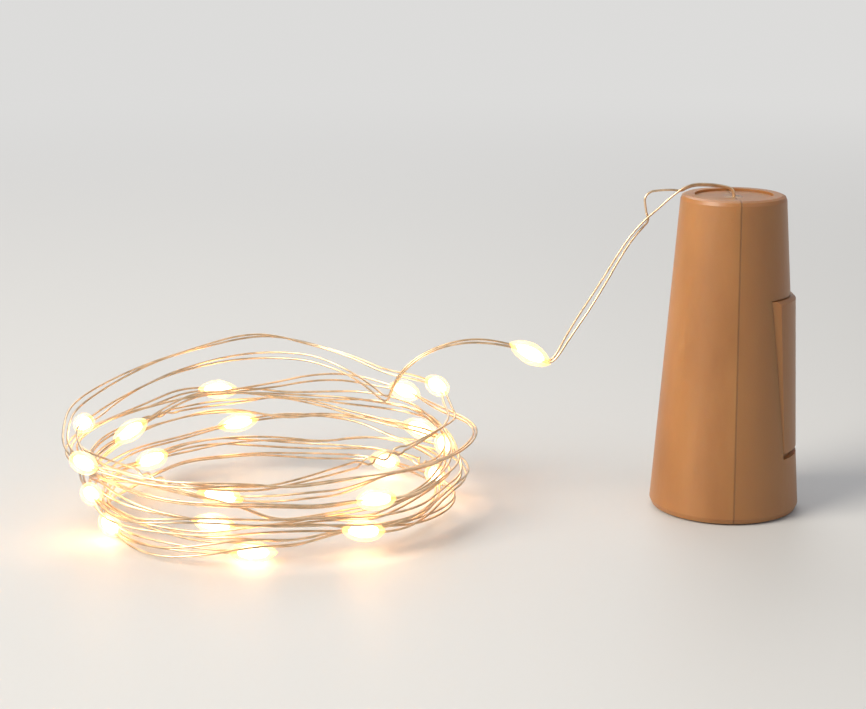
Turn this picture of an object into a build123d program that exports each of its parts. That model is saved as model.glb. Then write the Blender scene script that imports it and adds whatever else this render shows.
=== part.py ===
from build123d import *
import math
import os

os.makedirs("parts", exist_ok=True)

# A plug-shaped light of two moulded half shells, with a battery tray, a switch and a string of
# wire-borne lights. It stands on its wide end: the origin is the middle of that end, +Z runs up
# to the thin end, the shells part on the plane X = 0, and the tray pulls out along +X. The wire
# leaves the thin end, hangs down and lies in a loose coil on the -X side. Sizes are in mm.

# Plug-shaped body
body_height = 53.0
wide_radius = 12.5
thin_radius = 8.6
shell_wall = 1.3
end_wall = 1.4
cavity_sides = 24
base_round = 1.2
top_round = 0.8
rim_steps = 2
dish_radius = 6.4
dish_depth = 0.4
exit_radius = 1.5
cut_overrun = 1.0

# Bosses that pin the shells together, one each side of the wire
boss_radius = 1.5
boss_side = 4.4
boss_level = 44.0
pin_radius = 0.75
pin_length = 2.0
pin_clearance = 0.05
pin_end_gap = 0.4

# Door in the side, and the bay behind it
door_half_width = 8.0
door_low = 11.1
door_height = 25.5
door_thick = 1.4
door_proud_low = 0.05
door_proud_high = 0.85
door_bevel = 0.5
door_gap = 0.15
ledge_gap = 0.1
nail_groove_height = 1.0
nail_groove_depth = 0.9
bay_half_width = 6.95
bay_wall_root = 0.6
bay_end_thick = 1.2

# Button cells
cell_radius = 5.8
cell_thick = 5.4
cell_count = 3
can_height = 4.9
cap_radius = 4.7
cells_x = 2.2
cells_low = 15.4

# Cradle of the tray
cradle_clearance = 0.12
cradle_wall = 0.78
cradle_mouth = 3.6
cradle_end = 0.8
cradle_end_back = 4.5
cradle_play = 0.3
contact_slot_half = 2.2
contact_slot_reach = 2.0
door_web_half = 4.5
door_web_root = 0.2

# Leaf contacts and the wall that carries them
leaf_thick = 0.3
leaf_half_width = 1.8
leaf_reach = 1.5
leaf_gap = 0.1
leaf_leg_gap = 1.6
leaf_leg_width = 1.8
leaf_bridge = 1.3
rib_face_x = -6.2
rib_thick = 0.8
rib_low_gap = 0.4
rib_over_cells = 2.4

# Circuit board and resistor
board_low = 7.0
board_thick = 0.8
board_half_width = 4.0
board_left = 8.8
board_right = 6.4
ledge_half_width = 3.0
ledge_thick = 1.5
ledge_inset = 0.4
resistor_length = 3.2
resistor_width = 1.6
resistor_height = 0.6
resistor_x = 2.0

# Slide switch in the wide end
switch_half_length = 4.3
switch_half_width = 2.3
switch_height = 3.4
switch_slot_half_length = 3.4
switch_slot_half_width = 1.5
knob_length = 2.4
knob_half_width = 1.0
knob_recess = 0.3
slide_plate_length = 4.0
slide_plate_half_width = 1.5
slide_plate_height = 0.8
slide_clearance = 0.1
slide_side_clearance = 0.2
switch_floor = 0.4
slide_travel = 2.0
terminal_pitch = 2.5
terminal_width = 0.8
terminal_thick = 0.3

# Wire and the drops cast round its lights
wire_width = 1.1
wire_sides = 4
drop_radius = 1.7
drop_half_length = 3.5
drop_sides = 8
drop_pitch = 100.0
drop_count = 20
chip_length = 1.6
chip_width = 0.8
chip_height = 0.6
tail_length = 6.0
feed_x = 7.85
feed_bend = 4.0
feed_turn_low = 35.5
feed_turn_high = 44.5

# Lengthwise place and radius of a drop's rings, as shares of its half length and radius
drop_ring_shares = [
    (-1.0, 0.36),
    (-0.74, 0.78),
    (-0.36, 1.0),
    (0.36, 1.0),
    (0.74, 0.78),
    (1.0, 0.36),
]

# The free stretch of the wire, from the thin end down to the coil
free_points = [
    (0.0, 0.0, 52.6),
    (0.0, 0.0, 53.9),
    (-1.6, 0.2, 55.1),
    (-5.2, 0.4, 55.3),
    (-9.4, 0.3, 54.3),
    (-12.6, 0.0, 50.6),
    (-16.0, 0.1, 45.7),
    (-21.8, 0.3, 36.8),
    (-26.6, 0.2, 29.4),
    (-28.6, 0.1, 26.0),
    (-29.7, 0.0, 24.9),
    (-31.1, 0.0, 25.1),
    (-33.6, 0.1, 26.6),
    (-38.0, 0.3, 28.0),
    (-43.4, 1.0, 28.3),
    (-49.0, 1.4, 26.4),
    (-53.4, 1.4, 22.6),
    (-55.9, 1.9, 19.2),
    (-56.9, 3.0, 17.4),
]
bend_share = 0.45

# Coil: its middle, its widest reach, and how far its wire rises above the lowest turn, which
# lies on its drops
coil_x = -77.0
coil_y = -3.5
coil_reach = 34.0
coil_rise = 23.1
coil_floor_gap = 0.05
coil_first = 0.35
coil_last = 43.0

# Reach of each turn to the right, back, left and front, as shares of the coil's reach
reach_shares = [
    (0.588, 0.721, 0.912, 0.706),
    (0.897, 0.721, 0.985, 0.809),
    (0.985, 0.618, 0.868, 0.656),
    (0.882, 0.691, 0.941, 0.779),
    (0.985, 0.618, 0.824, 0.706),
    (0.882, 0.776, 0.912, 0.812),
    (1.000, 0.688, 0.794, 0.706),
    (0.868, 0.765, 0.882, 0.824),
    (0.956, 0.691, 0.750, 0.729),
    (0.838, 0.809, 0.838, 0.853),
    (0.926, 0.691, 0.765, 0.782),
]

# Height of each turn at the same four places, as shares of the coil's rise
height_shares = [
    (0.624, 0.822, 0.525, 0.450),
    (0.682, 1.000, 0.607, 0.376),
    (0.545, 0.686, 0.450, 0.331),
    (0.494, 0.607, 0.393, 0.277),
    (0.413, 0.521, 0.335, 0.236),
    (0.355, 0.446, 0.277, 0.186),
    (0.293, 0.364, 0.219, 0.153),
    (0.240, 0.293, 0.161, 0.103),
    (0.174, 0.215, 0.107, 0.070),
    (0.120, 0.132, 0.062, 0.008),
    (0.037, 0.054, 0.012, 0.000),
]

# Derived levels
door_high = door_low + door_height
cells_high = cells_low + cell_count * cell_thick
board_high = board_low + board_thick
switch_low = end_wall
switch_high = switch_low + switch_height
plug_top = body_height - dish_depth
plug_low = body_height - end_wall - top_round
pocket_radius = cell_radius + cradle_clearance
cradle_radius = pocket_radius + cradle_wall


def body_radius(level):
    return wide_radius - (wide_radius - thin_radius) * level / body_height


def body_cone(inset, low, high):
    """The body's cone between two levels, drawn in by an inset."""
    cone = Cone(
        body_radius(low) - inset,
        body_radius(high) - inset,
        high - low,
        align=(Align.CENTER, Align.CENTER, Align.MIN),
    )
    return Pos(0, 0, low) * cone


def block(x_low, x_high, y_low, y_high, z_low, z_high):
    """A box between six planes."""
    box = Box(x_high - x_low, y_high - y_low, z_high - z_low, align=(Align.MIN, Align.MIN, Align.MIN))
    return Pos(x_low, y_low, z_low) * box


def disc(radius, low, high, x=0.0):
    """An upright cylinder between two levels."""
    cylinder = Cylinder(radius, high - low, align=(Align.CENTER, Align.CENTER, Align.MIN))
    return Pos(x, 0, low) * cylinder


def bar_along_x(radius, x_low, x_high, y, z):
    """A round bar along X."""
    bar = Cylinder(radius, x_high - x_low, align=(Align.CENTER, Align.CENTER, Align.MIN))
    return Pos(x_low, y, z) * Rot(0, 90, 0) * bar


def flat_face(points):
    return Face(Wire.make_polygon(points, close=True))


def faceted_form(sides, rings):
    """A closed form of flat facets between level rings, each a radius and a level."""
    corners = []
    for radius, level in rings:
        ring = []
        for side in range(sides):
            turn = 2 * math.pi * side / sides
            ring.append(Vector(radius * math.cos(turn), radius * math.sin(turn), level))
        corners.append(ring)
    faces = [flat_face(corners[0]), flat_face(corners[-1])]
    for low, high in zip(corners, corners[1:]):
        for side in range(sides):
            beside = (side + 1) % sides
            faces.append(flat_face([low[side], low[beside], high[beside], high[side]]))
    return Solid(Shell(faces))


def rim_points(radius, level, rounding, upward):
    """Points round a rim, from its flat end to its side, on a quarter circle."""
    points = []
    for step in range(rim_steps + 1):
        turn = math.pi / 2 * step / rim_steps
        inset = rounding * (1 - math.sin(turn))
        rise = rounding * (1 - math.cos(turn))
        points.append((radius - inset, 0, level + rise * upward))
    return points


def hollow_body():
    """The whole body before it is parted: outer form, cavity, dish, wire hole and switch slot."""
    base = rim_points(body_radius(base_round), 0, base_round, 1)
    top = rim_points(body_radius(body_height - top_round), body_height, top_round, -1)
    outline = [(0, 0, 0)] + base + top[::-1] + [(0, 0, body_height)]
    outer = revolve(flat_face([Vector(*point) for point in outline]), Axis.Z)
    corner_share = 1 / math.cos(math.pi / cavity_sides)
    cavity_low = (body_radius(end_wall) - shell_wall) * corner_share
    cavity_high = (body_radius(body_height - end_wall) - shell_wall) * corner_share
    cavity = faceted_form(cavity_sides, [(cavity_low, end_wall), (cavity_high, body_height - end_wall)])
    dish = disc(dish_radius, plug_top, body_height + cut_overrun)
    hole = disc(exit_radius, body_height / 2, body_height + cut_overrun)
    slot = block(
        -switch_slot_half_length,
        switch_slot_half_length,
        -switch_slot_half_width,
        switch_slot_half_width,
        -cut_overrun,
        end_wall + cut_overrun,
    )
    return outer - cavity - dish - hole - slot


def rooted_in_shell():
    """The space that inner walls may fill, half way into the shell's own wall."""
    return body_cone(shell_wall / 2, end_wall / 2, body_height - end_wall / 2)


def left_shell():
    """The -X shell, with the contact wall, the board's ledge and two pinned bosses."""
    span = wide_radius + cut_overrun
    shell = hollow_body() & block(-span, 0, -span, span, -cut_overrun, body_height + cut_overrun)
    rib = block(
        rib_face_x - rib_thick,
        rib_face_x,
        -wide_radius,
        wide_radius,
        board_high + rib_low_gap,
        cells_high + rib_over_cells,
    )
    ledge = block(
        ledge_inset - board_left,
        ledge_inset + ledge_thick - board_left,
        -ledge_half_width,
        ledge_half_width,
        end_wall / 2,
        board_low,
    )
    shell += (rib + ledge) & rooted_in_shell()
    for side in (-boss_side, boss_side):
        shell += bar_along_x(boss_radius, -wide_radius, 0, side, boss_level) & rooted_in_shell()
        shell += bar_along_x(pin_radius, -pin_length, pin_length, side, boss_level)
    return shell


def right_shell():
    """The +X shell, with the door opening, the bay's walls, a ledge and two socketed bosses."""
    span = wide_radius + cut_overrun
    shell = hollow_body() & block(0, span, -span, span, -cut_overrun, body_height + cut_overrun)
    opening_half = door_half_width + door_gap
    shell -= block(0, span, -opening_half, opening_half, door_low - door_gap, door_high + door_gap)
    groove = block(0, span, -opening_half, opening_half, door_low - nail_groove_height, door_low)
    shell -= groove - body_cone(nail_groove_depth, 0, body_height)
    bay_low = door_low - door_gap - bay_end_thick
    bay_high = door_high + door_gap + bay_end_thick
    root = opening_half + bay_wall_root
    bay = block(0, span, -root, root, bay_low, bay_high)
    bay -= block(-cut_overrun, span, -bay_half_width, bay_half_width, door_low - door_gap, door_high + door_gap)
    shell += bay & body_cone(door_thick + ledge_gap, 0, body_height)
    ends = block(0, span, -bay_half_width, bay_half_width, bay_low, door_low - door_gap)
    ends += block(0, span, -bay_half_width, bay_half_width, door_high + door_gap, bay_high)
    shell += ends & body_cone(nail_groove_depth, 0, body_height)
    ledge = block(
        board_right - ledge_inset - ledge_thick,
        board_right - ledge_inset,
        -ledge_half_width,
        ledge_half_width,
        end_wall / 2,
        board_low,
    )
    shell += ledge
    socket_radius = pin_radius + pin_clearance
    for side in (-boss_side, boss_side):
        shell += bar_along_x(boss_radius, 0, wide_radius, side, boss_level) & rooted_in_shell()
        shell -= bar_along_x(socket_radius, 0, pin_length + pin_end_gap, side, boss_level)
    return shell


def battery_tray():
    """The door panel with the open cradle behind it, as one moulding."""
    panel = Pos(0, 0, door_low) * Cone(
        body_radius(door_low) + door_proud_low,
        body_radius(door_high) + door_proud_high,
        door_height,
        align=(Align.CENTER, Align.CENTER, Align.MIN),
    )
    span = wide_radius + cut_overrun
    panel &= block(0, span, -door_half_width, door_half_width, door_low, door_high)
    panel -= body_cone(door_thick, 0, body_height)
    bevel_radius = body_radius(door_high) + door_proud_high - door_bevel
    bevel = Cone(
        bevel_radius + door_height,
        bevel_radius,
        door_height,
        align=(Align.CENTER, Align.CENTER, Align.MIN),
    )
    panel &= Pos(0, 0, door_low) * bevel
    cradle_low = cells_low - cradle_end
    cradle_high = cells_high + cradle_play + cradle_end
    cradle = disc(cradle_radius, cradle_low, cradle_high, cells_x)
    pocket = disc(pocket_radius, cells_low, cells_high + cradle_play, cells_x)
    web = block(cells_x, span, -door_web_half, door_web_half, cradle_low, cradle_high)
    web &= body_cone(door_thick - door_web_root, 0, body_height)
    cradle = cradle + web - pocket
    mouth = block(-span, cells_x - cradle_mouth, -span, span, cells_low, cells_high + cradle_play)
    back = block(-span, cells_x - cradle_end_back, -span, span, cradle_low, cradle_high)
    slot = block(
        -span,
        cells_x + contact_slot_reach,
        -contact_slot_half,
        contact_slot_half,
        cradle_low - cut_overrun,
        cradle_high + cut_overrun,
    )
    return panel + (cradle - mouth - back - slot)


def cell_can(low):
    """A button cell's steel can."""
    return disc(cell_radius, low, low + can_height, cells_x)


def cell_cap(low):
    """The cell's smaller lid, which stands on the can."""
    return disc(cap_radius, low + can_height, low + cell_thick, cells_x)


def negative_contact():
    """A bent leaf from the board up the contact wall and in under the lowest cell."""
    top = cells_low - leaf_gap
    leg = block(rib_face_x, rib_face_x + leaf_thick, -leaf_half_width, leaf_half_width, board_high, top)
    tongue = block(
        rib_face_x,
        cells_x + leaf_reach,
        -leaf_half_width,
        leaf_half_width,
        top - leaf_thick,
        top,
    )
    return leg + tongue


def positive_contact():
    """A longer leaf beside the first, up to the top cell."""
    low = cells_high + leaf_gap
    leg_side = leaf_half_width + leaf_leg_gap
    leg_far = leg_side + leaf_leg_width
    leg = block(rib_face_x, rib_face_x + leaf_thick, leg_side, leg_far, board_high, low + leaf_thick)
    bridge = block(
        rib_face_x,
        rib_face_x + leaf_bridge,
        -leaf_half_width,
        leg_far,
        low,
        low + leaf_thick,
    )
    tongue = block(
        rib_face_x,
        cells_x + leaf_reach,
        -leaf_half_width,
        leaf_half_width,
        low,
        low + leaf_thick,
    )
    return leg + bridge + tongue


def circuit_board():
    return block(-board_left, board_right, -board_half_width, board_half_width, board_low, board_high)


def resistor():
    half_width = resistor_width / 2
    return block(
        resistor_x,
        resistor_x + resistor_length,
        -half_width,
        half_width,
        board_high,
        board_high + resistor_height,
    )


def switch_case():
    """The switch's case, open below, with a channel for the slider's plate."""
    case = block(
        -switch_half_length,
        switch_half_length,
        -switch_half_width,
        switch_half_width,
        switch_low,
        switch_high,
    )
    reach = (slide_plate_length + slide_travel) / 2 + slide_side_clearance
    floor_top = switch_low + switch_floor
    channel = block(
        -reach,
        reach,
        -slide_plate_half_width - slide_side_clearance,
        slide_plate_half_width + slide_side_clearance,
        floor_top,
        floor_top + slide_plate_height + slide_side_clearance,
    )
    knob_reach = (knob_length + slide_travel) / 2 + slide_side_clearance
    knob_slot = block(
        -knob_reach,
        knob_reach,
        -knob_half_width - slide_side_clearance,
        knob_half_width + slide_side_clearance,
        0,
        floor_top,
    )
    return case - channel - knob_slot


def switch_slider():
    """The slider at its off end: a knob below and a plate in the case's channel."""
    centre = -slide_travel / 2
    plate_low = switch_low + switch_floor + slide_clearance
    knob = block(
        centre - knob_length / 2,
        centre + knob_length / 2,
        -knob_half_width,
        knob_half_width,
        knob_recess,
        plate_low,
    )
    plate = block(
        centre - slide_plate_length / 2,
        centre + slide_plate_length / 2,
        -slide_plate_half_width,
        slide_plate_half_width,
        plate_low,
        plate_low + slide_plate_height,
    )
    return knob + plate


def switch_terminals():
    """Three blades from the switch up to the board."""
    blades = []
    for step in (-1, 0, 1):
        x = step * terminal_pitch
        blades.append(
            block(
                x - terminal_width / 2,
                x + terminal_width / 2,
                -terminal_thick / 2,
                terminal_thick / 2,
                switch_high,
                board_low,
            )
        )
    return Compound(children=blades)


def exit_glue():
    """The plug of glue that holds the wire in its hole."""
    return disc(exit_radius, plug_low, plug_top)


def wire_section(point, direction):
    """The faceted outline of the wire pair, square to a direction."""
    return Plane(origin=point, z_dir=direction) * RegularPolygon(wire_width / 2, wire_sides)


def sweep_wire(path):
    """The wire pair along a path."""
    return sweep(wire_section(path @ 0, path % 0), path=path, clean=False)


def feed_wire():
    """The wire inside the body, from the board behind the contact wall to the glue."""
    path = FilletPolyline(
        (-feed_x, 0, board_high),
        (-feed_x, 0, feed_turn_low),
        (0, 0, feed_turn_high),
        (0, 0, plug_low),
        radius=feed_bend,
    )
    return sweep_wire(path)


def free_radii(points):
    """One bend radius for each inner point: as large as its two runs allow."""
    radii = []
    for before, here, after in zip(points, points[1:], points[2:]):
        first = Vector(*here) - Vector(*before)
        second = Vector(*after) - Vector(*here)
        half_turn = math.radians(first.get_angle(second)) / 2
        shorter = min(first.length, second.length)
        radii.append(bend_share * shorter / math.tan(half_turn))
    return radii


def free_path(coil_start, coil_direction):
    """The free stretch, which ends straight and square on the coil's first face."""
    lead = coil_start - coil_direction * (wire_width * 2)
    points = free_points + [tuple(lead), tuple(coil_start)]
    radii = free_radii(points)
    print("free stretch radii", [round(radius, 1) for radius in radii])
    return FilletPolyline(*points, radius=radii)


def smooth_value(shares, place):
    """A share between two quarter turns, eased through its neighbours."""
    flat = [share for turn in shares for share in turn]
    first = min(int(math.floor(place)), len(flat) - 2)
    part = place - first
    around = [flat[min(max(first + step, 0), len(flat) - 1)] for step in (-1, 0, 1, 2)]
    slope_here = (around[2] - around[0]) / 2
    slope_next = (around[3] - around[1]) / 2
    rise = 3 * part**2 - 2 * part**3
    return (
        (1 - rise) * around[1]
        + rise * around[2]
        + (part**3 - 2 * part**2 + part) * slope_here
        + (part**3 - part**2) * slope_next
    )


def coil_point(place):
    """A point of the coil; place counts quarter turns from the right-hand side."""
    turn = place * math.pi / 2
    reach = coil_reach * smooth_value(reach_shares, place)
    height = drop_radius + coil_floor_gap + coil_rise * smooth_value(height_shares, place)
    return Vector(coil_x + reach * math.cos(turn), coil_y + reach * math.sin(turn), height)


def coil_direction(place):
    """The way the wire runs at a place of the coil."""
    step = 0.001
    return (coil_point(place + step) - coil_point(place - step)).normalized()


def biarc(start, start_way, end, end_way):
    """Two arcs that meet smoothly and carry one direction into another."""
    across = end - start
    ways = start_way + end_way
    bend = 2 * (1 - start_way.dot(end_way))
    along = across.dot(ways)
    reach = (math.sqrt(along**2 + bend * across.dot(across)) - along) / bend
    middle = (start + end + (start_way - end_way) * reach) / 2
    middle_way = (end - end_way * reach - start - start_way * reach).normalized()
    return [
        TangentArc(start, middle, tangent=start_way),
        TangentArc(middle, end, tangent=middle_way),
    ]


def coil_path():
    """A straight lead, the turns as biarcs of a quarter turn, and a straight tail."""
    places = [coil_first] + list(range(1, int(coil_last) + 1))
    points = [coil_point(place) for place in places]
    ways = [coil_direction(place) for place in places]
    edges = [Line(points[0] - ways[0] * wire_width, points[0])]
    for index in range(len(places) - 1):
        edges += biarc(points[index], ways[index], points[index + 1], ways[index + 1])
    edges.append(Line(points[-1], points[-1] + ways[-1] * tail_length))
    return Wire(edges)


def least_gap(path):
    """The least clear distance between two turns, measured on points along the coil."""
    spacing = 1.5
    count = int(path.length / spacing)
    points = [path.position_at(index / count) for index in range(count + 1)]
    apart = int(coil_reach / spacing)
    cells = {}
    for index, point in enumerate(points):
        key = (int(point.X // wire_width), int(point.Y // wire_width), int(point.Z // wire_width))
        cells.setdefault(key, []).append(index)
    least = coil_reach
    for (column, row, layer), members in cells.items():
        near = []
        for i in range(column - 3, column + 4):
            for j in range(row - 3, row + 4):
                for k in range(layer - 3, layer + 4):
                    near += cells.get((i, j, k), [])
        for first in members:
            for second in near:
                if second - first > apart:
                    least = min(least, distance_to_run(points[first], points, second))
    return least - wire_width


def distance_to_run(point, points, index):
    """The distance from a point to the two short runs beside another point."""
    best = coil_reach
    for start, end in ((index - 1, index), (index, min(index + 1, len(points) - 1))):
        run = points[end] - points[start]
        if run.length > 0:
            share = (point - points[start]).dot(run) / run.dot(run)
            share = min(max(share, 0), 1)
            best = min(best, (point - points[start] - run * share).length)
    return best


def led_drop():
    """One cast drop, lengthwise on Z: a lens shape of flat facets between its rings."""
    rings = []
    for place_share, radius_share in drop_ring_shares:
        rings.append((drop_radius * radius_share, drop_half_length * place_share))
    return faceted_form(drop_sides, rings)


def drop_places(free, coil):
    """Where the lights sit: evenly spaced back from the wire's far end."""
    places = []
    total = free.length + coil.length
    for index in range(drop_count):
        distance = total - tail_length - drop_pitch * (drop_count - 1 - index)
        if distance < free.length:
            places.append(free.location_at(distance / free.length))
        else:
            places.append(coil.location_at((distance - free.length) / coil.length))
    return places


def check_tube(name, tube, path):
    """Prints the tube's volume beside its section times its length."""
    area = wire_section(Vector(0, 0, 0), Vector(0, 0, 1)).area
    print(name, "length", round(path.length, 1), "volume", round(tube.volume, 1), "expected", round(area * path.length, 1))


def save(shape, name):
    export_step(shape, "parts/" + name + ".step")


save(left_shell(), "left_shell")
save(right_shell(), "right_shell")
save(battery_tray(), "battery_tray")
for number in range(cell_count):
    level = cells_low + number * cell_thick
    save(cell_can(level), "cell_can_" + str(number + 1))
    save(cell_cap(level), "cell_cap_" + str(number + 1))
save(negative_contact(), "negative_contact")
save(positive_contact(), "positive_contact")
save(circuit_board(), "circuit_board")
save(resistor(), "resistor")
save(switch_case(), "switch_case")
save(switch_slider(), "switch_slider")
save(switch_terminals(), "switch_terminals")
save(exit_glue(), "exit_glue")
save(feed_wire(), "feed_wire")

coil_line = coil_path()
coil_start = coil_line @ 0
start_way = coil_line % 0
free_line = free_path(coil_start, start_way)
free_tube = sweep_wire(free_line)
coil_tube = sweep_wire(coil_line)
check_tube("free stretch", free_tube, free_line)
check_tube("coil", coil_tube, coil_line)
print("least gap of the coil to itself", round(least_gap(coil_line), 2))
save(free_tube, "wire_free")
save(coil_tube, "wire_coil")

chips = []
for number, place in enumerate(drop_places(free_line, coil_line)):
    save(place * led_drop(), "led_drop_" + str(number + 1).zfill(2))
    chips.append(place * Box(chip_width, chip_height, chip_length))
save(Compound(children=chips), "led_chips")
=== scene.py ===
import math

import bmesh
import bpy
from mathutils import Matrix, Vector, noise


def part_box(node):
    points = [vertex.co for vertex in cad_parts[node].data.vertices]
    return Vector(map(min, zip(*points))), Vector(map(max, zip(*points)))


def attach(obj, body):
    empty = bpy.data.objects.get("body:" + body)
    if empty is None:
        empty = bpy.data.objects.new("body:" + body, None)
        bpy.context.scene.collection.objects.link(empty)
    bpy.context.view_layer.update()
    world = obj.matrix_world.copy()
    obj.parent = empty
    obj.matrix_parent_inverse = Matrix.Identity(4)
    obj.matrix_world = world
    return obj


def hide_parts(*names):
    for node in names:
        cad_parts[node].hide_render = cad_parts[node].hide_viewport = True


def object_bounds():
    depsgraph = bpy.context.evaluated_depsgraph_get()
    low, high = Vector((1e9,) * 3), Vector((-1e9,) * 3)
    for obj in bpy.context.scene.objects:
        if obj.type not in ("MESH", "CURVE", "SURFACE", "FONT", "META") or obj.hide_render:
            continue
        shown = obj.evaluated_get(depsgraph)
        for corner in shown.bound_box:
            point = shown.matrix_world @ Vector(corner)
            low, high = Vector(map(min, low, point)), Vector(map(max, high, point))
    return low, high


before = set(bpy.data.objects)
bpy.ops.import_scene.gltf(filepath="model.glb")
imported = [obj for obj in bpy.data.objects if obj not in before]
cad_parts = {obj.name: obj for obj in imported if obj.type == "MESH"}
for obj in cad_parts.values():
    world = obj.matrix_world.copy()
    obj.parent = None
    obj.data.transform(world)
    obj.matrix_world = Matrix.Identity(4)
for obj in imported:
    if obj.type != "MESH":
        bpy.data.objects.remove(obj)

bl_info = {
    "name": "Bottle light",
    "version": (1, 0, 0),
    "blender": (4, 5, 0),
    "location": "View3D > Sidebar > Bottle light",
    "description": "Dresses a plug-shaped bottle light and its string of cast drops",
    "category": "Object",
}

CAD_BOX = [list(corner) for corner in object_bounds()]

# The free stretch of the wire, in metres, from the thin end down to the coil
FREE_POINTS = [
    (0.0, 0.0, 0.0526),
    (0.0, 0.0, 0.0537),
    (-0.0014, 0.0002, 0.0542),
    (-0.0040, 0.0003, 0.0545),
    (-0.0071, 0.0003, 0.0545),
    (-0.0098, 0.0002, 0.0528),
    (-0.0146, 0.0001, 0.0482),
    (-0.0175, 0.0001, 0.0446),
    (-0.0218, 0.0003, 0.0368),
    (-0.0266, 0.0002, 0.0294),
    (-0.0286, 0.0001, 0.0258),
    (-0.0298, 0.0, 0.0247),
    (-0.0311, 0.0, 0.0250),
    (-0.0336, 0.0001, 0.0266),
    (-0.0380, 0.0003, 0.0280),
    (-0.0434, 0.0010, 0.0283),
    (-0.0490, 0.0014, 0.0268),
    (-0.0534, 0.0014, 0.0240),
    (-0.0559, 0.0019, 0.0202),
    (-0.0567, 0.0030, 0.0174),
]

# The coil, in metres: its middle, widest reach, lowest wire and rise above it
COIL_X = -0.077
COIL_Y = -0.0035
COIL_REACH = 0.034
COIL_LOW = 0.00175
COIL_RISE = 0.0231
COIL_FIRST = 0.35
COIL_LAST = 43.0
COIL_STEPS_PER_QUARTER = 6

# Reach of each turn to the right, back, left and front, as shares of the coil's reach
REACH_SHARES = [
    (0.588, 0.721, 0.912, 0.706),
    (0.897, 0.721, 0.985, 0.809),
    (0.985, 0.618, 0.868, 0.656),
    (0.882, 0.691, 0.941, 0.779),
    (0.985, 0.618, 0.824, 0.706),
    (0.882, 0.776, 0.912, 0.812),
    (1.000, 0.688, 0.794, 0.706),
    (0.868, 0.765, 0.882, 0.824),
    (0.956, 0.691, 0.750, 0.729),
    (0.838, 0.809, 0.838, 0.853),
    (0.926, 0.691, 0.765, 0.782),
]

# Height of each turn at the same four places, as shares of the coil's rise
HEIGHT_SHARES = [
    (0.624, 0.822, 0.525, 0.450),
    (0.682, 1.000, 0.607, 0.376),
    (0.545, 0.686, 0.450, 0.331),
    (0.494, 0.607, 0.393, 0.277),
    (0.413, 0.521, 0.335, 0.236),
    (0.355, 0.446, 0.277, 0.186),
    (0.293, 0.364, 0.219, 0.153),
    (0.240, 0.293, 0.161, 0.103),
    (0.174, 0.215, 0.107, 0.070),
    (0.120, 0.132, 0.062, 0.008),
    (0.037, 0.054, 0.012, 0.000),
]

# Where one strand stands off in a small loop, along the wire and how far
LOOP_START = 0.0098
LOOP_END = 0.0170
LOOP_REACH = (-0.0023, 0.0, 0.0022)

# Where the two strands are twisted tightly, along the wire
TWISTS = (0.2150, 0.5400, 1.0150, 1.6700)

# Along the wire: its straight lead into the coil, least and greatest step from drop to drop, how far
# each side of a drop the line is led to it, and how far the strands close up at a drop and at the plug
COIL_LEAD = 0.0022
DROP_STEP_LEAST = 0.07
DROP_STEP_MOST = 0.13
LED_REACH = 0.022
DROP_CLOSING = 0.009
PLUG_CLOSING = 0.006
TWIST_LENGTH = 0.008
BOX_MARGIN = 0.0007

DROP_NODES = ["led_drop_" + str(number).zfill(2) for number in range(1, 21)]


class BottleLightSettings(bpy.types.PropertyGroup):
    """Sizes and colours that a user may change before the pieces are made."""

    strand_width: bpy.props.FloatProperty(
        name="Strand width", description="Diameter of one lacquered strand of the wire",
        default=0.00038, min=0.0001, unit="LENGTH", precision=5)
    strand_spread: bpy.props.FloatProperty(
        name="Strand spread", description="Usual distance of a strand from the middle of the pair",
        default=0.00047, min=0.0001, unit="LENGTH", precision=5)
    wire_wobble: bpy.props.FloatProperty(
        name="Wire wobble", description="How far handling has bent the wire off its smooth line",
        default=0.0029, min=0.0, unit="LENGTH", precision=5)
    bend_seed: bpy.props.IntProperty(
        name="Bend seed", description="Which random bending the wire and drops get, the same in each run",
        default=77, min=1)
    drop_radius: bpy.props.FloatProperty(
        name="Drop radius", description="Radius of a cast drop at its middle",
        default=0.00165, min=0.0005, unit="LENGTH", precision=5)
    drop_half_length: bpy.props.FloatProperty(
        name="Drop half length", description="Half of a cast drop's length along the wire",
        default=0.0038, min=0.001, unit="LENGTH", precision=5)
    shell_colour: bpy.props.FloatVectorProperty(
        name="Shell colour", description="Usual colour of the moulded shells",
        default=(0.37, 0.163, 0.049), size=3, min=0.0, max=1.0, subtype="COLOR")
    shell_shade: bpy.props.FloatVectorProperty(
        name="Shell shade", description="Deeper colour in the mottling of the shells",
        default=(0.29, 0.119, 0.033), size=3, min=0.0, max=1.0, subtype="COLOR")
    wire_colour: bpy.props.FloatVectorProperty(
        name="Wire colour", description="Colour of the lacquered copper",
        default=(0.88, 0.64, 0.40), size=3, min=0.0, max=1.0, subtype="COLOR")
    glow_colour: bpy.props.FloatVectorProperty(
        name="Glow colour", description="Colour of the light in the drops",
        default=(1.0, 0.62, 0.22), size=3, min=0.0, max=1.0, subtype="COLOR")
    glow_strength: bpy.props.FloatProperty(
        name="Glow strength", description="Brightness of the light in the drops", default=16.0, min=0.0)
    floor_colour: bpy.props.FloatVectorProperty(
        name="Floor colour", description="Colour of the floor",
        default=(0.60, 0.595, 0.58), size=3, min=0.0, max=1.0, subtype="COLOR")


def settings():
    """The sizes and colours of this scene."""
    return bpy.context.scene.bottle_light


def new_material(name):
    """A material with an empty node tree but for its surface shader and output."""
    material = bpy.data.materials.new(name)
    material.use_nodes = True
    return material, material.node_tree.nodes["Principled BSDF"]


def add_node(material, kind, **values):
    """A node in the material's tree, with its settings."""
    node = material.node_tree.nodes.new(kind)
    for name, value in values.items():
        setattr(node, name, value)
    return node


def join(material, output, target):
    material.node_tree.links.new(output, target)


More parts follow.
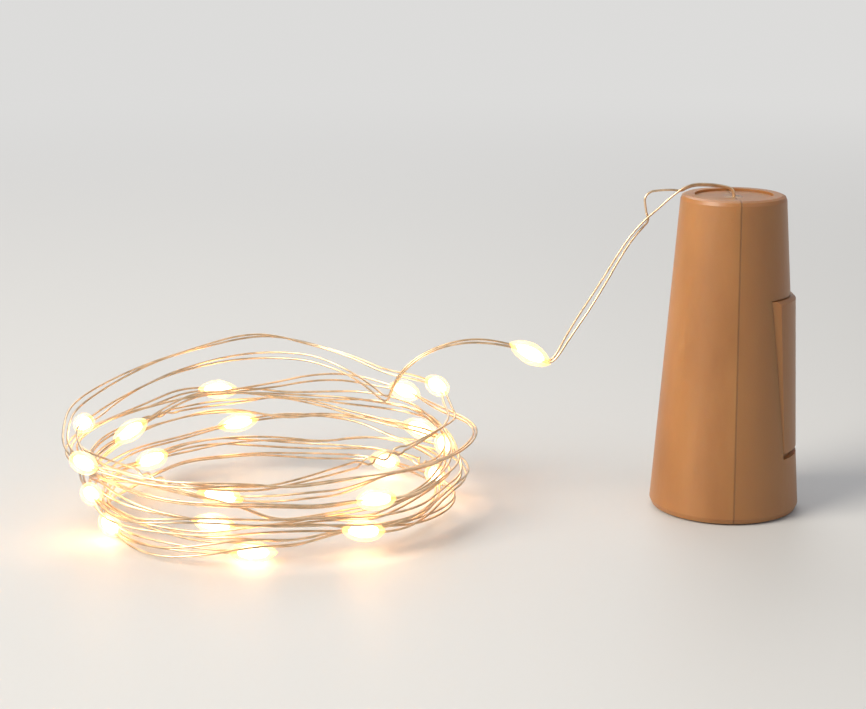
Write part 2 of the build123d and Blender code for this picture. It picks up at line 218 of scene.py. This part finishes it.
def placed_texture(material, kind, scale, stretch=(1, 1, 1), detail=4.0):
    """A texture on the piece's own coordinates, stretched along its axes."""
    place = add_node(material, "ShaderNodeTexCoord")
    mapping = add_node(material, "ShaderNodeMapping")
    mapping.inputs["Scale"].default_value = stretch
    texture = add_node(material, kind)
    texture.inputs["Scale"].default_value = scale
    if "Detail" in texture.inputs:
        texture.inputs["Detail"].default_value = detail
    join(material, place.outputs["Object"], mapping.inputs["Vector"])
    join(material, mapping.outputs["Vector"], texture.inputs["Vector"])
    return texture


def colour_ramp(material, factor, stops):
    """Colours between stops, each a place and a colour."""
    ramp = add_node(material, "ShaderNodeValToRGB")
    while len(ramp.color_ramp.elements) < len(stops):
        ramp.color_ramp.elements.new(0.5)
    for element, (place, colour) in zip(ramp.color_ramp.elements, stops):
        element.position = place
        element.color = (*colour, 1.0)
    join(material, factor, ramp.inputs["Fac"])
    return ramp


def add_bump(material, shader, height, distance, strength, before=None):
    """Surface relief from a height in 0 to 1, on top of relief added before."""
    bump = add_node(material, "ShaderNodeBump")
    bump.inputs["Distance"].default_value = distance
    bump.inputs["Strength"].default_value = strength
    join(material, height, bump.inputs["Height"])
    if before is not None:
        join(material, before.outputs["Normal"], bump.inputs["Normal"])
    join(material, bump.outputs["Normal"], shader.inputs["Normal"])
    return bump


def vary_roughness(material, shader, factor, low, high):
    spread = add_node(material, "ShaderNodeMapRange")
    spread.inputs["To Min"].default_value = low
    spread.inputs["To Max"].default_value = high
    join(material, factor, spread.inputs["Value"])
    join(material, spread.outputs["Result"], shader.inputs["Roughness"])


def dress(node, material):
    """Gives a CAD node its finish."""
    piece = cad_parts[node]
    if not piece.material_slots:
        piece.data.materials.append(material)
    for place in piece.material_slots:
        place.material = material


def dress_all(beginning, material):
    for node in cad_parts:
        if node.startswith(beginning):
            dress(node, material)


def caramel_plastic(name, light, deep):
    """Moulded translucent plastic, mottled like bark and faintly rippled."""
    material, shader = new_material(name)
    clouds = placed_texture(material, "ShaderNodeTexNoise", 95.0, (1.0, 1.0, 0.4), 6.0)
    ramp = colour_ramp(material, clouds.outputs["Fac"], [(0.3, deep), (0.66, light)])
    place = add_node(material, "ShaderNodeTexCoord")
    split = add_node(material, "ShaderNodeSeparateXYZ")
    beside = add_node(material, "ShaderNodeMath", operation="ABSOLUTE")
    seam = add_node(material, "ShaderNodeMapRange")
    seam.inputs["From Min"].default_value = 0.00003
    seam.inputs["From Max"].default_value = 0.00020
    join(material, place.outputs["Object"], split.inputs["Vector"])
    join(material, split.outputs["X"], beside.inputs[0])
    join(material, beside.outputs["Value"], seam.inputs["Value"])
    line = colour_ramp(material, seam.outputs["Result"], [(0.0, (0.66, 0.62, 0.58)), (1.0, (1.0, 1.0, 1.0))])
    shaded = add_node(material, "ShaderNodeMix", data_type="RGBA", blend_type="MULTIPLY")
    shaded.inputs["Factor"].default_value = 1.0
    join(material, ramp.outputs["Color"], shaded.inputs["A"])
    join(material, line.outputs["Color"], shaded.inputs["B"])
    join(material, shaded.outputs["Result"], shader.inputs["Base Color"])
    shader.inputs["Subsurface Weight"].default_value = 0.35
    shader.inputs["Subsurface Radius"].default_value = (1.0, 0.42, 0.14)
    shader.inputs["Subsurface Scale"].default_value = 0.0035
    shader.inputs["IOR"].default_value = 1.5
    shader.inputs["Coat Weight"].default_value = 0.12
    shader.inputs["Coat Roughness"].default_value = 0.22
    vary_roughness(material, shader, clouds.outputs["Fac"], 0.34, 0.5)
    ripple = placed_texture(material, "ShaderNodeTexNoise", 260.0, (1.0, 1.0, 0.25), 3.0)
    grain = placed_texture(material, "ShaderNodeTexNoise", 2600.0, (1, 1, 1), 2.0)
    wide = add_bump(material, shader, ripple.outputs["Fac"], 0.00025, 0.35)
    fine = add_bump(material, shader, grain.outputs["Fac"], 0.00004, 0.4, wide)
    add_bump(material, shader, seam.outputs["Result"], 0.00008, 0.6, fine)
    return material


def metal(name, colour, roughness, scratch_scale=2200.0, stretch=(1, 1, 1)):
    """Worn metal, brushed along its longer marks."""
    material, shader = new_material(name)
    marks = placed_texture(material, "ShaderNodeTexNoise", scratch_scale, stretch, 5.0)
    darker = tuple(channel * 0.78 for channel in colour)
    ramp = colour_ramp(material, marks.outputs["Fac"], [(0.3, darker), (0.65, colour)])
    join(material, ramp.outputs["Color"], shader.inputs["Base Color"])
    shader.inputs["Metallic"].default_value = 1.0
    vary_roughness(material, shader, marks.outputs["Fac"], roughness * 0.75, roughness * 1.3)
    add_bump(material, shader, marks.outputs["Fac"], 0.00002, 0.25)
    return material


def plain_plastic(name, light, deep, roughness, scale=900.0):
    """Moulded opaque plastic or resin with a fine spark texture."""
    material, shader = new_material(name)
    spots = placed_texture(material, "ShaderNodeTexNoise", scale, (1, 1, 1), 4.0)
    ramp = colour_ramp(material, spots.outputs["Fac"], [(0.35, deep), (0.6, light)])
    join(material, ramp.outputs["Color"], shader.inputs["Base Color"])
    vary_roughness(material, shader, spots.outputs["Fac"], roughness * 0.85, roughness * 1.15)
    add_bump(material, shader, spots.outputs["Fac"], 0.00003, 0.4)
    return material


def lacquered_copper(name):
    """Copper strand under clear lacquer, a little uneven along its length."""
    material, shader = new_material(name)
    colour = tuple(settings().wire_colour)
    deep = tuple(channel * 0.68 for channel in colour)
    patches = placed_texture(material, "ShaderNodeTexNoise", 420.0, (1, 1, 1), 5.0)
    ramp = colour_ramp(material, patches.outputs["Fac"], [(0.32, deep), (0.6, colour)])
    join(material, ramp.outputs["Color"], shader.inputs["Base Color"])
    shader.inputs["Metallic"].default_value = 1.0
    shader.inputs["Coat Weight"].default_value = 0.5
    shader.inputs["Coat Roughness"].default_value = 0.15
    vary_roughness(material, shader, patches.outputs["Fac"], 0.24, 0.38)
    add_bump(material, shader, patches.outputs["Fac"], 0.00004, 0.3)
    return material


def cast_resin():
    """Clear resin of a drop, tinted by the light in it."""
    material, shader = new_material("cast_resin")
    glow = tuple(settings().glow_colour)
    streaks = placed_texture(material, "ShaderNodeTexNoise", 500.0, (1, 1, 1), 3.0)
    pale = tuple(0.2 + 0.8 * channel for channel in glow)
    ramp = colour_ramp(material, streaks.outputs["Fac"], [(0.35, glow), (0.65, pale)])
    join(material, ramp.outputs["Color"], shader.inputs["Base Color"])
    join(material, ramp.outputs["Color"], shader.inputs["Emission Color"])
    shader.inputs["Emission Strength"].default_value = 0.75
    shader.inputs["Roughness"].default_value = 0.08
    shader.inputs["IOR"].default_value = 1.5
    shader.inputs["Alpha"].default_value = 0.5
    add_bump(material, shader, streaks.outputs["Fac"], 0.0001, 0.3)
    return material


def lit_core():
    """The lit middle of a drop."""
    material, shader = new_material("lit_core")
    glow = tuple(settings().glow_colour)
    pale = tuple(0.35 + 0.65 * channel for channel in glow)
    cells = placed_texture(material, "ShaderNodeTexNoise", 900.0, (1, 1, 1), 2.0)
    ramp = colour_ramp(material, cells.outputs["Fac"], [(0.3, glow), (0.55, pale)])
    shader.inputs["Base Color"].default_value = (1.0, 0.9, 0.7, 1.0)
    join(material, ramp.outputs["Color"], shader.inputs["Emission Color"])
    shader.inputs["Emission Strength"].default_value = settings().glow_strength
    return material


def eased_share(shares, place):
    """A share between two quarter turns, eased through its neighbours."""
    flat = [share for turn in shares for share in turn]
    first = min(int(math.floor(place)), len(flat) - 2)
    part = place - first
    around = [flat[min(max(first + step, 0), len(flat) - 1)] for step in (-1, 0, 1, 2)]
    slope_here = (around[2] - around[0]) / 2
    slope_next = (around[3] - around[1]) / 2
    rise = 3 * part**2 - 2 * part**3
    return (
        (1 - rise) * around[1]
        + rise * around[2]
        + (part**3 - 2 * part**2 + part) * slope_here
        + (part**3 - part**2) * slope_next
    )


def coil_point(place):
    """A point of the coil; place counts quarter turns from the right-hand side."""
    turn = place * math.pi / 2
    reach = COIL_REACH * eased_share(REACH_SHARES, place)
    height = COIL_LOW + COIL_RISE * eased_share(HEIGHT_SHARES, place)
    return Vector((COIL_X + reach * math.cos(turn), COIL_Y + reach * math.sin(turn), height))


def route_points():
    """Control points of the wire's line: the free stretch, then the turns of the coil."""
    points = [Vector(point) for point in FREE_POINTS]
    start = coil_point(COIL_FIRST)
    way = (coil_point(COIL_FIRST + 0.01) - start).normalized()
    points.append(start - way * COIL_LEAD)
    steps = int((COIL_LAST - COIL_FIRST) * COIL_STEPS_PER_QUARTER)
    for step in range(steps + 1):
        place = COIL_FIRST + (COIL_LAST - COIL_FIRST) * step / steps
        points.append(coil_point(place))
    return points


def inside_box(point, margin):
    """The point held inside the CAD box and off the floor."""
    low, high = CAD_BOX
    return Vector(min(max(value, low[axis] + margin), high[axis] - margin) for axis, value in enumerate(point))


def wobbled(points):
    """The points moved by smooth noise, as handling bends the wire, less near the plug."""
    amount = settings().wire_wobble
    moved = []
    for index, point in enumerate(points):
        ease = min(1.0, max(0.0, (index - 17) / 14), (len(points) - 1 - index) / 6)
        far = index * 0.008
        shift = noise.noise_vector(point * 30.0 + Vector((0, 0, far * 9.0)))
        fine = noise.noise_vector(point * 70.0 + Vector((7, 3, far * 40.0)))
        bend = (shift * amount * 1.5 + fine * amount * 0.75) * ease
        bend.z *= 0.8
        moved.append(inside_box(point + bend, BOX_MARGIN) if ease > 0 else point)
    return moved


def spline_line(points, resolution):
    """The points of a smooth spline that follows its control points."""
    curve = bpy.data.curves.new("route", "CURVE")
    curve.dimensions = "3D"
    curve.resolution_u = resolution
    spline = curve.splines.new("NURBS")
    spline.points.add(len(points) - 1)
    for target, point in zip(spline.points, points):
        target.co = (*point, 1.0)
    spline.order_u = 3
    spline.use_endpoint_u = True
    holder = bpy.data.objects.new("route", curve)
    bpy.context.scene.collection.objects.link(holder)
    mesh = bpy.data.meshes.new_from_object(holder)
    line = [vertex.co.copy() for vertex in mesh.vertices]
    bpy.data.objects.remove(holder)
    bpy.data.curves.remove(curve)
    bpy.data.meshes.remove(mesh)
    return line


def run_lengths(line):
    """Distance along a line at each of its points."""
    lengths = [0.0]
    for before, point in zip(line, line[1:]):
        lengths.append(lengths[-1] + (point - before).length)
    return lengths


def node_middle(node):
    low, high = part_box(node)
    return (Vector(low) + Vector(high)) / 2


def pulled_to_drops(line):
    """The line led through the middle of each drop, and where on it each drop sits."""
    lengths = run_lengths(line)
    places = []
    expected = 0
    for node in DROP_NODES:
        middle = node_middle(node)
        near = range(expected, len(line))
        if places:
            last = lengths[places[-1]]
            near = [i for i in near if DROP_STEP_LEAST < lengths[i] - last < DROP_STEP_MOST] or near
        place = min(near, key=lambda i: (line[i] - middle).length)
        places.append(place)
        expected = place + 1
    moved = [point.copy() for point in line]
    for node, place in zip(DROP_NODES, places):
        shift = node_middle(node) - line[place]
        for index, point in enumerate(moved):
            away = abs(lengths[index] - lengths[place]) / LED_REACH
            if away < 1:
                point += shift * (0.5 + 0.5 * math.cos(math.pi * away))
    return moved, places


def line_frames(line):
    """Direction and side of the line at each point, the side carried along without twist."""
    frames = []
    side = Vector((0, 1, 0))
    for index in range(len(line)):
        before = line[max(index - 1, 0)]
        after = line[min(index + 1, len(line) - 1)]
        way = (after - before).normalized()
        side = (side - way * side.dot(way)).normalized()
        frames.append((way, side.copy()))
    return frames


def tube_piece(name, lines, radius, sides_quarter, material):
    """Round tubes along lines, as one mesh piece."""
    curve = bpy.data.curves.new(name, "CURVE")
    curve.dimensions = "3D"
    curve.bevel_depth = radius
    curve.bevel_resolution = sides_quarter
    curve.use_fill_caps = True
    for line in lines:
        spline = curve.splines.new("POLY")
        spline.points.add(len(line) - 1)
        for target, point in zip(spline.points, line):
            target.co = (*point, 1.0)
    holder = bpy.data.objects.new(name + "_holder", curve)
    bpy.context.scene.collection.objects.link(holder)
    mesh = bpy.data.meshes.new_from_object(holder)
    bpy.data.objects.remove(holder)
    bpy.data.curves.remove(curve)
    mesh.name = name
    mesh.materials.clear()
    mesh.materials.append(material)
    for face in mesh.polygons:
        face.use_smooth = True
    piece = bpy.data.objects.new(name, mesh)
    bpy.context.scene.collection.objects.link(piece)
    return piece


def bell(value, middle, width):
    """A smooth hump of height 1."""
    away = abs(value - middle) / width
    return 0.5 + 0.5 * math.cos(math.pi * away) if away < 1 else 0.0


def strand_lines(line, places):
    """The two strands, which close up at each drop, open between and turn round each other."""
    lengths = run_lengths(line)
    frames = line_frames(line)
    spread = settings().strand_spread
    least_height = settings().strand_width * 0.6
    first, second = [], []
    for index, point in enumerate(line):
        way, side = frames[index]
        across = way.cross(side)
        far = lengths[index]
        turn = 2.2 * noise.noise(Vector((far * 14.0, 3.7, 0.0))) + far * 38.0
        turn += 0.9 * noise.noise(Vector((far * 60.0, 9.1, 0.0)))
        for twist in TWISTS:
            turn += 3 * math.pi * min(1.0, max(0.0, (far - twist) / TWIST_LENGTH))
        open_share = 1.0 + 0.8 * noise.noise(Vector((far * 45.0, 0.4, 5.0)))
        closed = max(bell(far, lengths[place], DROP_CLOSING) for place in places)
        closed = max(closed, bell(far, 0.0, PLUG_CLOSING))
        reach = spread * max(0.5, open_share) * (1 - 0.45 * closed)
        offset = (side * math.cos(turn) + across * math.sin(turn)) * reach
        loose = 0.0
        if LOOP_START < far < LOOP_END:
            part = (far - LOOP_START) / (LOOP_END - LOOP_START)
            loose = min(1.0, 2.0 * part, 3.2 * (1 - part)) ** 0.8
            offset *= 1 - 0.5 * min(1.0, loose)
        one = point + offset + Vector(LOOP_REACH) * loose
        two = point - offset
        one.z = max(one.z, least_height)
        two.z = max(two.z, least_height)
        first.append(one)
        second.append(two)
    return [first, second]


def drop_mesh(name, materials, seed):
    """A cast drop along X, drawn out to the wire at both ends, round a lit core."""
    half = settings().drop_half_length
    radius = settings().drop_radius
    bm = bmesh.new()
    for core in (False, True):
        reach = half * (0.68 if core else 1.0 + 0.06 * math.sin(seed * 2.3))
        fat = radius * (0.7 if core else 1.0 + 0.05 * math.sin(seed * 1.7))
        lean = 0.0 if core else 0.12 * math.sin(seed * 3.1)
        before = set(bm.verts)
        ring = []
        for step in range(17):
            along = -1 + step / 8
            swell = (1 - along * along) ** (0.5 if core else 0.95)
            swell *= 1 + lean * along
            neck = 0.0 if core else 0.17 * (1 - abs(along) ** 6)
            ring.append(bm.verts.new((along * reach, 0, fat * (swell * 0.86 + neck))))
        edges = [bm.edges.new(pair) for pair in zip(ring, ring[1:])]
        bmesh.ops.spin(
            bm, geom=ring + edges, cent=(0, 0, 0), axis=(1, 0, 0), angle=2 * math.pi, steps=20, use_merge=True)
        made = [vert for vert in bm.verts if vert not in before]
        bmesh.ops.remove_doubles(bm, verts=made, dist=0.00001)
        if core:
            for face in bm.faces:
                if all(vert not in before for vert in face.verts):
                    face.material_index = 1
    for vert in bm.verts:
        shift = noise.noise_vector(vert.co * 420.0 + Vector((seed, 0, 0)))
        vert.co += shift * radius * 0.07
    bmesh.ops.recalc_face_normals(bm, faces=bm.faces)
    for face in bm.faces:
        face.smooth = True
    mesh = bpy.data.meshes.new(name)
    bm.to_mesh(mesh)
    bm.free()
    for material in materials:
        mesh.materials.append(material)
    return mesh


def turned_to(way, seed):
    """A turn that lays X along the given way."""
    return way.to_track_quat("X", "Z").to_matrix().to_4x4() @ Matrix.Rotation(seed * 1.9, 4, "X")


class BOTTLELIGHT_OT_shells(bpy.types.Operator):
    """Finish the two shells and the battery tray"""

    bl_idname = "bottle_light.shells"
    bl_label = "Shells and tray"

    def execute(self, context):
        light = tuple(settings().shell_colour)
        deep = tuple(settings().shell_shade)
        # Painted light and shade: one plastic in two copies, the left shell painted brighter and the right
        # shell painted darker than the shell colour, as if lit from the left.
        painted_lit_colour = tuple(min(1.0, c * 1.06) for c in light)
        dress("left_shell", caramel_plastic("caramel_left_painted_lit", painted_lit_colour, deep))
        dress("right_shell", caramel_plastic("caramel_right_painted_shade", tuple(c * 0.86 for c in light), deep))
        dress("battery_tray", caramel_plastic("caramel_tray", tuple(c * 0.84 for c in light), deep))
        return {"FINISHED"}


class BOTTLELIGHT_OT_cells(bpy.types.Operator):
    """Finish the button cells and the contacts that they touch"""

    bl_idname = "bottle_light.cells"
    bl_label = "Cells and contacts"

    def execute(self, context):
        dress_all("cell_can", metal("brushed_steel", (0.62, 0.62, 0.60), 0.32, 1800.0, (1, 1, 0.1)))
        dress_all("cell_cap", metal("pressed_lid", (0.70, 0.69, 0.66), 0.26, 1200.0, (1, 0.1, 1)))
        dress("negative_contact", metal("nickel_spring", (0.72, 0.69, 0.62), 0.3))
        dress("positive_contact", metal("nickel_leaf", (0.72, 0.69, 0.62), 0.34, 2000.0, (0.1, 1, 1)))
        return {"FINISHED"}


class BOTTLELIGHT_OT_electrics(bpy.types.Operator):
    """Finish the board, the switch, the feed wire and the glue that holds the wire"""

    bl_idname = "bottle_light.electrics"
    bl_label = "Board, switch and feed"

    def execute(self, context):
        dress("circuit_board", plain_plastic("green_board", (0.035, 0.16, 0.06), (0.02, 0.10, 0.035), 0.4))
        dress("resistor", plain_plastic("resistor_ceramic", (0.05, 0.05, 0.055), (0.02, 0.02, 0.022), 0.5))
        dress("switch_case", metal("switch_steel", (0.64, 0.64, 0.62), 0.35))
        black, soot = (0.035, 0.035, 0.035), (0.015, 0.015, 0.015)
        dress("switch_slider", plain_plastic("slider_plastic", black, soot, 0.45))
        dress("switch_terminals", metal("tinned_legs", (0.74, 0.73, 0.70), 0.3))
        dress("exit_glue", plain_plastic("clear_glue", (0.42, 0.24, 0.11), (0.32, 0.16, 0.06), 0.22, 300.0))
        dress("feed_wire", lacquered_copper("feed_copper"))
        return {"FINISHED"}


class BOTTLELIGHT_OT_string(bpy.types.Operator):
    """Make the two-strand wire and the cast drops on it"""

    bl_idname = "bottle_light.string"
    bl_label = "Wire and drops"

    def execute(self, context):
        noise.seed_set(settings().bend_seed)
        line, places = pulled_to_drops(spline_line(wobbled(route_points()), 10))
        pair = strand_lines(line, places)
        strands = tube_piece(
            "copper_strands", pair, settings().strand_width / 2, 1, lacquered_copper("strand_copper"))
        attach(strands, "housing")
        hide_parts("wire_free", "wire_coil")
        frames = line_frames(line)
        resin, core = cast_resin(), lit_core()
        for number, (node, place) in enumerate(zip(DROP_NODES, places)):
            seed = number + 1.0
            mesh = drop_mesh("cast_drop_" + node[-2:], [resin, core], seed)
            turn = Matrix.Translation(line[place]) @ turned_to(frames[place][0], seed)
            mesh.transform(turn)
            piece = bpy.data.objects.new(mesh.name, mesh)
            context.scene.collection.objects.link(piece)
            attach(piece, "housing")
            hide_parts(node)
        chips, shader = new_material("lit_chips")
        spots = placed_texture(chips, "ShaderNodeTexNoise", 900.0)
        ramp = colour_ramp(chips, spots.outputs["Fac"], [(0.3, (1.0, 0.7, 0.3)), (0.6, (1.0, 0.85, 0.6))])
        join(chips, ramp.outputs["Color"], shader.inputs["Base Color"])
        join(chips, ramp.outputs["Color"], shader.inputs["Emission Color"])
        shader.inputs["Emission Strength"].default_value = 4.0
        dress("led_chips", chips)
        return {"FINISHED"}


def soft_lamp(name, place, target, size, power, colour):
    """A round soft lamp that faces its target."""
    lamp = bpy.data.lights.new(name, "AREA")
    lamp.shape = "DISK"
    lamp.size = size
    lamp.energy = power
    lamp.color = colour
    holder = bpy.data.objects.new(name, lamp)
    holder.location = place
    holder.rotation_euler = (Vector(target) - Vector(place)).to_track_quat("-Z", "Y").to_euler()
    bpy.context.scene.collection.objects.link(holder)


def far_paint(paint, shader):
    """Keeps the far floor as pale to the camera as the floor under the lamps."""
    place = add_node(paint, "ShaderNodeTexCoord")
    reach = add_node(paint, "ShaderNodeVectorMath", operation="LENGTH")
    spread = add_node(paint, "ShaderNodeMapRange", interpolation_type="SMOOTHSTEP")
    spread.inputs["From Min"].default_value = 0.12
    spread.inputs["From Max"].default_value = 0.7
    path = add_node(paint, "ShaderNodeLightPath")
    seen = add_node(paint, "ShaderNodeMath", operation="MAXIMUM")
    share = add_node(paint, "ShaderNodeMath", operation="MULTIPLY")
    pale = add_node(paint, "ShaderNodeEmission")
    pale.inputs["Color"].default_value = (0.72, 0.715, 0.705, 1.0)
    mix = add_node(paint, "ShaderNodeMixShader")
    output = paint.node_tree.nodes["Material Output"]
    join(paint, place.outputs["Object"], reach.inputs[0])
    join(paint, reach.outputs["Value"], spread.inputs["Value"])
    join(paint, path.outputs["Is Camera Ray"], seen.inputs[0])
    join(paint, path.outputs["Is Glossy Ray"], seen.inputs[1])
    join(paint, spread.outputs["Result"], share.inputs[0])
    join(paint, seen.outputs["Value"], share.inputs[1])
    join(paint, share.outputs["Value"], mix.inputs["Fac"])
    join(paint, shader.outputs["BSDF"], mix.inputs[1])
    join(paint, pale.outputs["Emission"], mix.inputs[2])
    join(paint, mix.outputs["Shader"], output.inputs["Surface"])


class BOTTLELIGHT_OT_stage(bpy.types.Operator):
    """Set up the floor, the lamps and the camera"""

    bl_idname = "bottle_light.stage"
    bl_label = "Stage"

    def execute(self, context):
        scene = context.scene
        bm = bmesh.new()
        bmesh.ops.create_grid(bm, x_segments=2, y_segments=2, size=6.0)
        mesh = bpy.data.meshes.new("floor")
        bm.to_mesh(mesh)
        bm.free()
        floor = bpy.data.objects.new("floor", mesh)
        scene.collection.objects.link(floor)
        paint, shader = new_material("pale_floor")
        shader.inputs["Base Color"].default_value = (*settings().floor_colour, 1.0)
        shader.inputs["Roughness"].default_value = 0.55
        far_paint(paint, shader)
        mesh.materials.append(paint)

        world = bpy.data.worlds.new("pale_room")
        world.use_nodes = True
        sky = world.node_tree.nodes["Background"]
        sky.inputs["Color"].default_value = (0.93, 0.95, 1.0, 1.0)
        sky.inputs["Strength"].default_value = 0.45
        scene.world = world
        soft_lamp("key_lamp", (-0.70, -0.38, 0.55), (-0.05, 0, 0.02), 0.6, 10.5, (1.0, 0.94, 0.84))
        soft_lamp("fill_lamp", (0.6, -0.6, 0.5), (-0.03, 0, 0.02), 0.8, 0.9, (0.95, 0.97, 1.0))
        soft_lamp("back_lamp", (-0.1, 0.7, 0.6), (-0.05, 0, 0.02), 0.6, 2.0, (1.0, 1.0, 1.0))

        view = bpy.data.cameras.new("camera")
        view.sensor_width = 36.0
        view.lens = 80.35
        view.clip_start = 0.01
        camera = bpy.data.objects.new("camera", view)
        camera.location = (-0.0492, -0.3135, 0.1007)
        camera.rotation_euler = (math.radians(76.6), 0.0, 0.0)
        scene.collection.objects.link(camera)
        scene.camera = camera
        scene.view_settings.view_transform = "Standard"
        return {"FINISHED"}


class BOTTLELIGHT_PT_panel(bpy.types.Panel):
    """The sizes, colours and steps of the light"""

    bl_label = "Bottle light"
    bl_space_type = "VIEW_3D"
    bl_region_type = "UI"
    bl_category = "Bottle light"

    def draw(self, context):
        for name in BottleLightSettings.__annotations__:
            self.layout.prop(context.scene.bottle_light, name)
        for step in STEPS:
            self.layout.operator(step.bl_idname)


STEPS = (
    BOTTLELIGHT_OT_shells,
    BOTTLELIGHT_OT_cells,
    BOTTLELIGHT_OT_electrics,
    BOTTLELIGHT_OT_string,
    BOTTLELIGHT_OT_stage,
)


def register():
    for kind in (BottleLightSettings, *STEPS, BOTTLELIGHT_PT_panel):
        bpy.utils.register_class(kind)
    bpy.types.Scene.bottle_light = bpy.props.PointerProperty(type=BottleLightSettings)


def unregister():
    del bpy.types.Scene.bottle_light
    for kind in (BOTTLELIGHT_PT_panel, *reversed(STEPS), BottleLightSettings):
        bpy.utils.unregister_class(kind)


def main():
    register()
    bpy.ops.bottle_light.shells()
    bpy.ops.bottle_light.cells()
    bpy.ops.bottle_light.electrics()
    bpy.ops.bottle_light.string()
    bpy.ops.bottle_light.stage()


if __name__ == "__main__":
    main()
